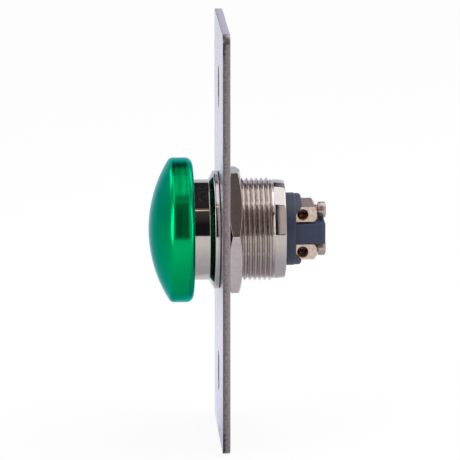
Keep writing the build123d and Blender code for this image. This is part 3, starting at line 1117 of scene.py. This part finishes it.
@dataclass
class LockNut:
    """The hexagon nut, chamfered on both faces."""

    flat_radius: float = 12.8
    face_radius: float = 12.72
    thickness: float = 2.9
    bore_radius: float = 11.03
    bore_chamfer: float = 0.3
    corner_angle: float = 6.2
    corner_round: float = 0.28
    chamfer_angle: float = 19.0
    least_chamfer: float = 0.02
    edge_round: float = 0.07
    border: float = 0.1
    near_angle: float = 0.6
    near_steps: int = 4
    flat_steps: int = 44
    half_side: ClassVar[float] = math.radians(30)

    def reach(self, away: float) -> float:
        """Give the rounded hexagon's shape.

        Args:
            away: The angle in radians from the nearest corner.

        Returns:
            The hexagon's radius there.
        """
        centre = (self.flat_radius - self.corner_round) / math.cos(self.half_side)
        limit = math.atan2(self.corner_round / 2, centre + self.corner_round * math.cos(self.half_side))
        if abs(away) > limit:
            return self.flat_radius / math.cos(self.half_side - abs(away))
        return centre * math.cos(away) + math.sqrt(self.corner_round**2 - (centre * math.sin(away)) ** 2)

    def angles(self) -> list[tuple[float, float]]:
        """Spread the columns, closer together near the corners.

        Returns:
            Every column's angle and its angle from the nearest corner.
        """
        near = math.radians(self.near_angle)
        half = [near * step / self.near_steps for step in range(self.near_steps + 1)]
        run = self.half_side - near
        half += [near + run * step / self.flat_steps for step in range(1, self.flat_steps + 1)]
        made = []
        for side in range(6):
            corner = math.radians(self.corner_angle) + 2 * side * self.half_side
            made.extend((corner + away, away) for away in half[:-1])
            made.extend((corner + 2 * self.half_side - away, -away) for away in reversed(half[1:]))
        return made

    def section(self, reach: float) -> Outline:
        """Lay out the nut's section at one angle.

        Args:
            reach: The hexagon's radius at that angle.

        Returns:
            The closed section.
        """
        slope = math.tan(math.radians(self.chamfer_angle))
        drop = max(self.least_chamfer, (reach - self.face_radius) * slope)
        mouth = self.bore_radius + self.bore_chamfer
        return (
            Outline(arc_steps=3)
            .to(0.0, mouth, self.edge_round)
            .to(0.0, self.face_radius, self.edge_round)
            .to(drop, reach, self.edge_round)
            .to(drop + self.border, reach)
            .to(self.thickness - drop - self.border, reach)
            .to(self.thickness - drop, reach, self.edge_round)
            .to(self.thickness, self.face_radius, self.edge_round)
            .to(self.thickness, mouth, self.edge_round)
            .to(self.thickness - self.bore_chamfer, self.bore_radius)
            .to(self.bore_chamfer, self.bore_radius)
        )

    def build(self, finishes: Finishes) -> None:
        """Build and dress the nut.

        Args:
            finishes: The object's finishes.
        """
        columns = []
        for angle, away in self.angles():
            points = self.section(self.reach(away)).points()
            columns.append([(r * math.cos(angle), y, r * math.sin(angle)) for y, r in points])
        draft = Draft()
        draft.loft(columns, closed_section=True)
        piece = finished("hexagon_nut", [draft.mesh("nut")], [finishes["nut_plating"]])
        placed(piece, Body.HOUSING, "nut_nickel", "lock_nut")


@dataclass
class MushroomPush:
    """The green cap: shallow dome, straight rim, and a recess that runs over the neck."""

    radius: float = 15.45
    dome_radius: float = 28.3
    dome_steps: int = 56
    rim_front: float = -11.95
    rear: float = -7.15
    front_round: float = 1.25
    front_steps: int = 10
    rear_round: float = 1.5
    recess_radius: float = 11.5
    recess_round: float = 0.5
    recess_floor: float = -11.9
    inner_round: float = 0.3
    boss_radius: float = 4.6
    boss_rear: float = -9.8
    boss_round: float = 0.2
    bore_radius: float = 3.02
    bore_front: float = -13.6
    margin: float = 0.1
    segments: int = 256

    def section(self) -> Outline:
        """Lay out the cap's section from the dome's apex round to the bore.

        Returns:
            The section.
        """
        centre = self.rim_front + math.sqrt(self.dome_radius**2 - self.radius**2)
        inner = self.dome_radius - self.front_round
        drop = math.asin((self.radius - self.front_round) / inner)
        middle = (centre - inner * math.cos(drop), self.radius - self.front_round)
        return (
            Outline(arc_steps=8)
            .arc((centre, 0.0), self.dome_radius, math.pi, math.pi - drop, self.dome_steps)
            .arc(middle, self.front_round, math.pi - drop, math.pi / 2, self.front_steps)
            .to(self.rear, self.radius, self.rear_round)
            .to(self.rear, self.recess_radius, self.recess_round)
            .to(self.recess_floor, self.recess_radius, self.inner_round)
            .to(self.recess_floor, self.boss_radius, self.inner_round)
            .to(self.boss_rear, self.boss_radius, self.boss_round)
            .to(self.boss_rear, self.bore_radius)
            .to(self.bore_front, self.bore_radius)
            .to(self.bore_front, 0.0)
        )

    def slot(self, face: BMFace) -> int:
        """Return a face's slot: the rear face and the recess have a duller finish, whose darker green is
        painted shade.
        """
        station, away = middle_of(face)
        recess = away < self.recess_radius + self.recess_round and station > self.bore_front - self.margin
        return int(recess or (away < self.radius - self.rear_round and station > self.rear - self.margin))

    def build(self, finishes: Finishes) -> None:
        """Build and dress the cap.

        Args:
            finishes: The object's finishes.
        """
        metals = [finishes["cap_anodised"], finishes["cap_recess_painted_shade"]]
        piece = finished("push_cap", [turned(self.section(), self.segments)], metals, self.slot)
        placed(piece, Body.PUSH, "cap_green", "mushroom_cap")


@dataclass
class Springs:
    """The return spring between the cap and the barrel, and the small one behind the bridge."""

    wire_radius: float = 0.4
    coil_radius: float = 6.4
    start: float = -11.45
    end: float = -3.05
    turns: float = 5.6
    seat: float = -2.6
    travel: float = 2.8
    small_wire: float = 0.2
    small_coil: float = 2.0
    small_turns: float = 3.0

    def build(self, finishes: Finishes, coils: CoilTree) -> None:
        """Build and dress both springs.

        Args:
            finishes: The object's finishes.
            coils: The tree that winds springs.
        """
        wire = finishes["spring_wire"]
        values = {
            "Coil radius": self.coil_radius * MM, "Wire radius": self.wire_radius * MM,
            "Start": self.start * MM, "Length": (self.end - self.start) * MM, "Turns": self.turns,
            "Material": wire,
        }
        piece = finished("return_coil", [coils.mesh(values)], [wire])
        placed(piece, Body.HOUSING, "spring_steel", "return_spring")
        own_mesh(piece)
        low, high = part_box("contact_spring")
        thin = self.small_wire * MM
        values.update({
            "Coil radius": self.small_coil * MM, "Wire radius": thin, "Turns": self.small_turns,
            "Start": low.y + thin, "Length": high.y - low.y - 2 * thin,
        })
        piece = finished("bridge_coil", [coils.mesh(values)], [wire])
        placed(piece, Body.PUSH, "spring_steel", "contact_spring")


@dataclass
class ContactBlock:
    """The moulded base with its two clamp blocks and screws."""

    terminal_height: float = 4.05
    base_soft: float = 0.1
    block_soft: float = 0.07
    screw_tip: float = 15.3
    tip_radius: float = 0.85
    tip_round: float = 0.1
    thread_start: float = 15.65
    thread_end: float = 19.1
    thread_pitch: float = 0.45
    thread_depth: float = 0.22
    thread_fade: float = 0.3
    shank_radius: float = 1.25
    neck_front: float = 19.2
    neck_radius: float = 1.1
    head_front: float = 19.53
    head_rear: float = 21.23
    head_radius: float = 1.78
    head_front_round: float = 0.25
    head_rear_round: float = 0.55
    slot_width: float = 0.55
    slot_depth: float = 0.6
    slot_spare: float = 0.4
    hole_station: float = 16.05
    hole_skin: float = 1.25
    bore_skin: float = 1.3
    side_normal: float = 0.9
    top_normal: float = 0.7
    segments: int = 72
    inner_nodes: tuple[tuple[str, str], ...] = (
        ("actuator_stem", "stem_steel"),
        ("stem_bush", "bush_moulding"),
        ("stem_seal", "gasket_fibre"),
        ("stem_clip", "spring_wire"),
        ("contact_carrier", "bush_moulding"),
        ("contact_bridge", "contact_brass"),
        ("moving_contact_tips", "contact_silver"),
        ("fixed_contact_tips", "contact_silver"),
        ("contact_stud_upper", "contact_brass"),
        ("contact_stud_lower", "contact_brass"),
    )

    def screw(self, side: str, height: float, finishes: Finishes, threads: ThreadTree) -> None:
        """Build and dress one clamp screw.

        Args:
            side: Which terminal it belongs to.
            height: The height of its axis.
            finishes: The object's finishes.
            threads: The tree that cuts threads.
        """
        plating = finishes["screw_plating"]
        thread = Thread(
            self.shank_radius, self.thread_pitch, self.thread_depth, self.thread_start,
            self.thread_end, self.thread_start, height, self.thread_fade,
        )
        tip = (
            Outline()
            .to(self.screw_tip, 0.0)
            .to(self.screw_tip, self.tip_radius, self.tip_round)
            .to(self.thread_start, self.shank_radius)
        )
        head = (
            Outline()
            .to(self.thread_end, thread.end_radius)
            .to(self.neck_front, self.neck_radius)
            .to(self.head_front, self.neck_radius)
            .to(self.head_front, self.head_radius, self.head_front_round)
            .to(self.head_rear, self.head_radius, self.head_rear_round)
            .to(self.head_rear, 0.0)
        )
        ends = [turned(outline, self.segments, height) for outline in (tip, head)]
        meshes = [ends[0], threads.cut(thread, self.segments, plating), ends[1]]
        plain = finished(f"clamp_screw_{side}_plain", meshes, [plating])
        cutter = self.slot_cutter(height)
        cut = plain.modifiers.new("slot", "BOOLEAN")
        cut.operation, cut.solver, cut.object = "DIFFERENCE", "EXACT", cutter
        slotted = baked(plain)
        for scrap in (plain, cutter):
            bpy.data.objects.remove(scrap)
        piece = finished(f"clamp_screw_{side}", [slotted], [plating])
        placed(piece, Body.HOUSING, "screw_nickel", f"terminal_screw_{side}")

    def slot_cutter(self, height: float) -> Object:
        """Make the block that cuts the slot in a screw's head.

        Args:
            height: The height of the screw's axis.

        Returns:
            The block, to be removed after the cut.
        """
        half, reach = self.slot_width / 2, self.head_radius + self.slot_spare
        floor, top = self.head_rear - self.slot_depth, self.head_rear + self.slot_spare
        low, high = height - reach, height + reach
        corners = ((-half, low), (half, low), (half, high), (-half, high))
        draft = Draft()
        draft.loft([[(x, floor, z), (x, top, z)] for x, z in corners])
        draft.faces += [[0, 2, 4, 6], [7, 5, 3, 1]]
        draft.slots += [0, 0]
        return finished("screw_slot", [draft.mesh("slot")], [])

    def block_slot(self, height: float, face: BMFace) -> int:
        """Tell the finishes of a clamp block apart.

        Args:
            height: The height of the block's screw.
            face: A face of the block.

        Returns:
            Its slot: 0 for plated, 1 for the darker finish on faces that point up, 2 for drilled in the
                holes.
        """
        x, y, z = face.calc_center_median() / MM
        inner = abs(face.normal.x) < self.side_normal
        drilled = inner and math.hypot(y - self.hole_station, z - height) < self.hole_skin
        bored = y > self.hole_station and math.hypot(x, z - height) < self.bore_skin
        return 2 if drilled or bored else int(face.normal.z > self.top_normal)

    def build(self, finishes: Finishes, threads: ThreadTree) -> None:
        """Build and dress the base, blocks and screws, and dress the inner CAD nodes.

        Args:
            finishes: The object's finishes.
            threads: The tree that cuts threads.
        """
        base = softened("contact_base", self.base_soft, "moulded_base", [finishes["base_moulding"]])
        placed(base, Body.HOUSING, "base_plastic", "contact_base")
        metals = [finishes[name] for name in ("terminal_plating", "terminal_upward_faces", "drilled_brass")]
        for side, height in (("upper", self.terminal_height), ("lower", -self.terminal_height)):
            name, sort = f"terminal_block_{side}", partial(self.block_slot, height)
            block = softened(name, self.block_soft, f"clamp_block_{side}", metals, sort)
            placed(block, Body.HOUSING, "terminal_metal", name)
            self.screw(side, height, finishes, threads)
        for node, finish in self.inner_nodes:
            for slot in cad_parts[node].material_slots:
                slot.material = finishes[finish]
            log.info("%s: CAD node, finish %s", node, finish)


# Floor, lights and camera


class Reading(Enum):
    """What the studio's panels are laid out by: degrees, metres, or shares of a direction."""

    LIFT = "the angle round the push axis, from +X over the top"
    RISE = "the angle above the horizon"
    AWAY = "the angle round the upright axis, from +X to either side"
    REACH = "the part along +X"
    FORE = "the part along +Y"
    SIDE = "the part along the push axis, to either side"
    NEAR = "the distance from the upright axis"


LIFT, RISE, AWAY, REACH, FORE, SIDE, NEAR = Reading
Readings = dict[Reading, Value]


@dataclass(frozen=True)
class Ramp:
    """A clamped straight ramp over one reading."""

    reading: Reading
    start: float
    end: float
    low: float = 0.0
    high: float = 1.0

    def seen(self, readings: Readings) -> Value:
        """Return the ramp's value."""
        return readings[self.reading].ramp(self.start, self.end, self.low, self.high)


def band(reading: Reading, start: float, end: float, soft: float) -> tuple[Ramp, Ramp]:
    """Return ramps that together give 1 between two readings, with soft borders."""
    return Ramp(reading, start - soft, start + soft), Ramp(reading, end + soft, end - soft)


@dataclass(frozen=True)
class Panel:
    """A bright part of the studio: its level, the ramps that bound it, and how warm it is."""

    level: float
    ramps: tuple[Ramp, ...]
    warmth: float = 0.0

    def seen(self, readings: Readings, *more: Ramp) -> Value:
        """Return the panel's level under its own ramps and some more."""
        return math.prod((ramp.seen(readings) for ramp in (*self.ramps, *more)), start=self.level)


@dataclass(frozen=True)
class Lamp:
    """A rectangular soft lamp, with its place in millimetres and the brightness of its face."""

    name: str
    place: Place
    aim: Place
    size: Span
    level: float
    colour: Colour = WHITE

    def hang(self) -> None:
        """Add the lamp to the scene."""
        data = bpy.data.lights.new(self.name, "AREA")
        data.shape, data.size, data.size_y = "RECTANGLE", self.size[0] * MM, self.size[1] * MM
        data.energy, data.color = LAMP_POWER * self.level * data.size * data.size_y, self.colour
        lamp = linked(self.name, data)
        lamp.location = Vector(self.place) * MM
        lamp.rotation_mode = "QUATERNION"
        lamp.rotation_quaternion = (Vector(self.aim) - Vector(self.place)).to_track_quat("-Z", "Y")


@dataclass
class Studio:
    """A pale floor, soft light and the camera at the photograph's viewing angle."""

    floor_height: float = -45.1
    floor_reach: float = 4000.0
    elevation: float = 12.5
    azimuth: float = 2.995
    distance: float = 900.0
    target: Place = (0.0, 0.835, -0.15)
    focal_pixels: float = 4221.0
    picture_pixels: float = 460.0
    sensor: float = 36.0
    clip: Span = (0.05, 20.0)
    world_level: float = 0.88
    dark_level: float = 0.014
    paper_level: float = 0.86
    cool_floor: Colour = (0.92, 0.917, 1.0)
    plain_tint: Colour = (0.94, 0.945, 1.0)
    warm_tint: Colour = (1.0, 0.87, 0.84)
    back_tint: Colour = (0.94, 0.97, 1.16)
    back_ramp: Ramp = Ramp(LIFT, 148, 154)
    # The floor in gloss: brighter on the camera's side and far behind, dimmer far off, bluish far
    # behind and dark past its end; darker behind and close to the object and bluish under it: painted shadow
    falloff_and_shadow_ramps: tuple[Ramp, ...] = (Ramp(NEAR, 0.3, 1.3, 1.0, 0.8), Ramp(NEAR, 0.0, 0.075, 0.8, 1.0))
    lit_side_shadowed_behind: Panel = Panel(1.0, (Ramp(REACH, -0.12, 0.12, 0.58, 1.0),))
    beyond: Panel = Panel(0.34, (Ramp(AWAY, 152, 166),))
    shade_tint_under_object: Ramp = Ramp(NEAR, 0.09, 0.02)
    floor_end: Ramp = Ramp(REACH, 1.25, 1.1, 0.03, 1.0)
    # Bright panels to the front and rear of the object, which the floor shows too
    aside: tuple[Panel, ...] = (
        Panel(3.0, (Ramp(AWAY, 42, 58), Ramp(AWAY, 106, 92), Ramp(FORE, 0.03, -0.03))),
        Panel(0.75, (Ramp(AWAY, 42, 58), Ramp(AWAY, 80, 68), Ramp(FORE, -0.03, 0.03))),
    )
    aside_on_floor: Ramp = Ramp(NEAR, 0.2, 0.75)
    aside_in_room: tuple[Ramp, ...] = band(RISE, -40, 13, 4)
    room: tuple[Panel, ...] = (
        # The white wall behind the object, dimmer in the middle and towards its ends
        Panel(1.0, (
            Ramp(LIFT, 149, 151),
            Ramp(SIDE, 0.25, 0.5, 1.0, 0.6),
            Ramp(SIDE, 0.08, 0.18, 0.76, 0.97),
        )),
        # A faint warm glow on the camera's side, and a thin glint above it
        Panel(0.07, (Ramp(LIFT, 24, 54), Ramp(LIFT, 58.44, 57.3)), warmth=14),
        Panel(0.14, (*band(LIFT, 59.4, 62, 0.3), Ramp(SIDE, 0.14, 0.07)), warmth=14),
        # Warm veils off the middle: on the camera's side, high up behind, and overhead
        Panel(0.7, (
            *band(LIFT, -4, 69, 1),
            Ramp(SIDE, 0.14, 0.24),
            Ramp(SIDE, 0.35, 0.9, 1.0, 0.85),
        ), warmth=1),
        Panel(0.4, (*band(LIFT, 126, 149, 1), Ramp(SIDE, 0.07, 0.2)), warmth=2),
        Panel(0.8, (*band(LIFT, 66, 128, 2), Ramp(SIDE, 0.3, 0.6)), warmth=1),
        # Two bands a little to the front: a bright one overhead, a faint one on the camera's side
        Panel(1.8, (*band(LIFT, 64, 112, 4), Ramp(FORE, -0.02, -0.06), Ramp(FORE, -0.5, -0.3))),
        Panel(0.1, (*band(LIFT, -2, 60, 1), Ramp(FORE, -0.02, -0.06), Ramp(FORE, -0.5, -0.3))),
        # A dim ceiling, and bright panels high up behind, to either side
        Panel(0.014, band(LIFT, 60, 150, 2)),
        Panel(1.0, (*band(AWAY, 113, 146, 4), *band(RISE, 20, 48, 4), Ramp(FORE, 0.1, -0.1, 0.9, 2.4))),
    )
    lamps: tuple[Lamp, ...] = (
        Lamp("top_box", (-64.5, 211.0, 350.0), (-64.5, 211.0, 0.0), (387.0, 380.0), 1.22),
        Lamp("warm_strip", (83.9, -21.8, 121.9), (8.8, -21.8, 6.2), (48.0, 6.0), 1.15, (1.0, 0.8, 0.58)),
        Lamp("front_box", (330.0, -520.0, 300.0), (0.0, 0.0, 0.0), (300.0, 300.0), 2.2),
    )

    def camera(self) -> None:
        """Make the camera and look at the target."""
        data = bpy.data.cameras.new("camera")
        data.sensor_width = self.sensor
        data.lens = self.focal_pixels / self.picture_pixels * self.sensor
        data.clip_start, data.clip_end = self.clip
        eye = linked("camera", data)
        up, turn = math.radians(self.elevation), math.radians(self.azimuth)
        back = Vector((math.cos(up) * math.cos(turn), -math.cos(up) * math.sin(turn), math.sin(up)))
        eye.location = (Vector(self.target) + back * self.distance) * MM
        eye.rotation_mode = "QUATERNION"
        eye.rotation_quaternion = (-back).to_track_quat("-Z", "Y")
        bpy.context.scene.camera = eye

    def rays(self, graph: Graph) -> tuple[Value, Value]:
        """Tell the kinds of rays apart.

        Args:
            graph: The floor's or the world's graph.

        Returns:
            1 for a ray from the camera or through glass, and 1 for a ray from a gloss.
        """
        outputs = graph.add("ShaderNodeLightPath").socket.node.outputs
        names = ("Is Camera Ray", "Is Transmission Ray", "Is Glossy Ray")
        camera, through, gloss = (Value(graph, outputs[name]) for name in names)
        return camera + through, gloss

    def readings(self, graph: Graph, coordinate: str) -> Readings:
        """Read a floor place or a direction.

        Args:
            graph: The floor's or the world's graph.
            coordinate: The texture coordinate that gives the place or the direction.

        Returns:
            What the panels are laid out by.
        """
        x, y, z = graph.parts(graph.add("ShaderNodeTexCoord", output=coordinate))
        side = graph.math("ABSOLUTE", y)
        made = {REACH: x, FORE: y, SIDE: side, NEAR: graph.math("SQRT", x * x + y * y)}
        angles = {
            LIFT: graph.math("ARCTAN2", z, x),
            RISE: graph.math("ARCSINE", z),
            AWAY: graph.math("ARCTAN2", side, x),
        }
        return {**made, **{name: graph.math("DEGREES", angle) for name, angle in angles.items()}}

    def floor(self) -> None:
        """Make the white floor, which keeps the object's shadow."""
        reach, draft = self.floor_reach, Draft()
        corners = ((-reach, -reach), (reach, -reach), (reach, reach), (-reach, reach))
        draft.vertices = [(x, y, self.floor_height) for x, y in corners]
        draft.faces, draft.slots = [[0, 1, 2, 3]], [0]
        material = bpy.data.materials.new("studio_floor")
        material.use_nodes = True
        graph = Graph(material.node_tree)
        plain, gloss = self.rays(graph)
        readings = self.readings(graph, "Object")
        # Painted shadow in the gloss: the floor is darker behind the object and close to it
        sheen = sum(panel.seen(readings, *self.falloff_and_shadow_ramps) for panel in (self.lit_side_shadowed_behind, self.beyond))
        sheen = sheen + sum(panel.seen(readings, self.aside_on_floor) for panel in self.aside)
        strength = plain + gloss * sheen * self.floor_end.seen(readings)
        # Bluish far behind, and bluish under the object as painted shade
        cool = (self.beyond.seen(readings) + self.shade_tint_under_object.seen(readings)).least(1.0) * gloss
        tint = graph.mix(cool, WHITE, self.cool_floor)
        paper = graph.add("ShaderNodeBsdfDiffuse", None, {"Color": (self.paper_level,) * 3})
        glow = graph.add("ShaderNodeEmission", None, {"Color": tint, "Strength": strength})
        share = (plain * self.paper_level + gloss).least(1.0)
        surface = graph.add("ShaderNodeMixShader", None, {0: share, 1: paper, 2: glow})
        graph.add("ShaderNodeOutputMaterial", None, {"Surface": surface})
        floor = linked("floor", draft.mesh("floor"))
        floor.data.materials.append(material)

    def world(self) -> None:
        """Light the object evenly, show white behind it and a studio in its gloss."""
        world = bpy.data.worlds.new("studio")
        bpy.context.scene.world = world
        world.use_nodes = True
        world.cycles.sampling_method = "NONE"
        graph = Graph(world.node_tree)
        plain, gloss = self.rays(graph)
        readings = self.readings(graph, "Generated")
        shown = [(panel.warmth, panel.seen(readings)) for panel in self.room]
        level = self.dark_level + sum(value for _, value in shown)
        level = level + sum(panel.seen(readings, *self.aside_in_room) for panel in self.aside)
        warmth = sum(value * share for share, value in shown if share).least(1.0)
        tint = graph.mix(warmth, self.plain_tint, self.warm_tint)
        tint = graph.mix(self.back_ramp.seen(readings), tint, self.back_tint)
        white = plain.least(1.0)
        strength = white + (1 - white) * (1 - gloss) * self.world_level + gloss * level
        light = {"Color": graph.mix(gloss, WHITE, tint), "Strength": strength}
        background = graph.add("ShaderNodeBackground", None, light)
        graph.add("ShaderNodeOutputWorld", None, {"Surface": background})

    def build(self) -> None:
        """Set up the whole studio."""
        bpy.context.scene.view_settings.view_transform = "Standard"
        self.camera()
        self.floor()
        self.world()
        for lamp in self.lamps:
            lamp.hang()


def main() -> None:
    logging.basicConfig(level=logging.INFO, format="%(message)s")
    finishes, threads, coils = Finishes(), ThreadTree(), CoilTree()
    Studio().build()
    WallPlate().build(finishes)
    Barrel().build(finishes, threads)
    LockNut().build(finishes)
    MushroomPush().build(finishes)
    Springs().build(finishes, coils)
    ContactBlock().build(finishes, threads)


if __name__ == "__main__":
    main()
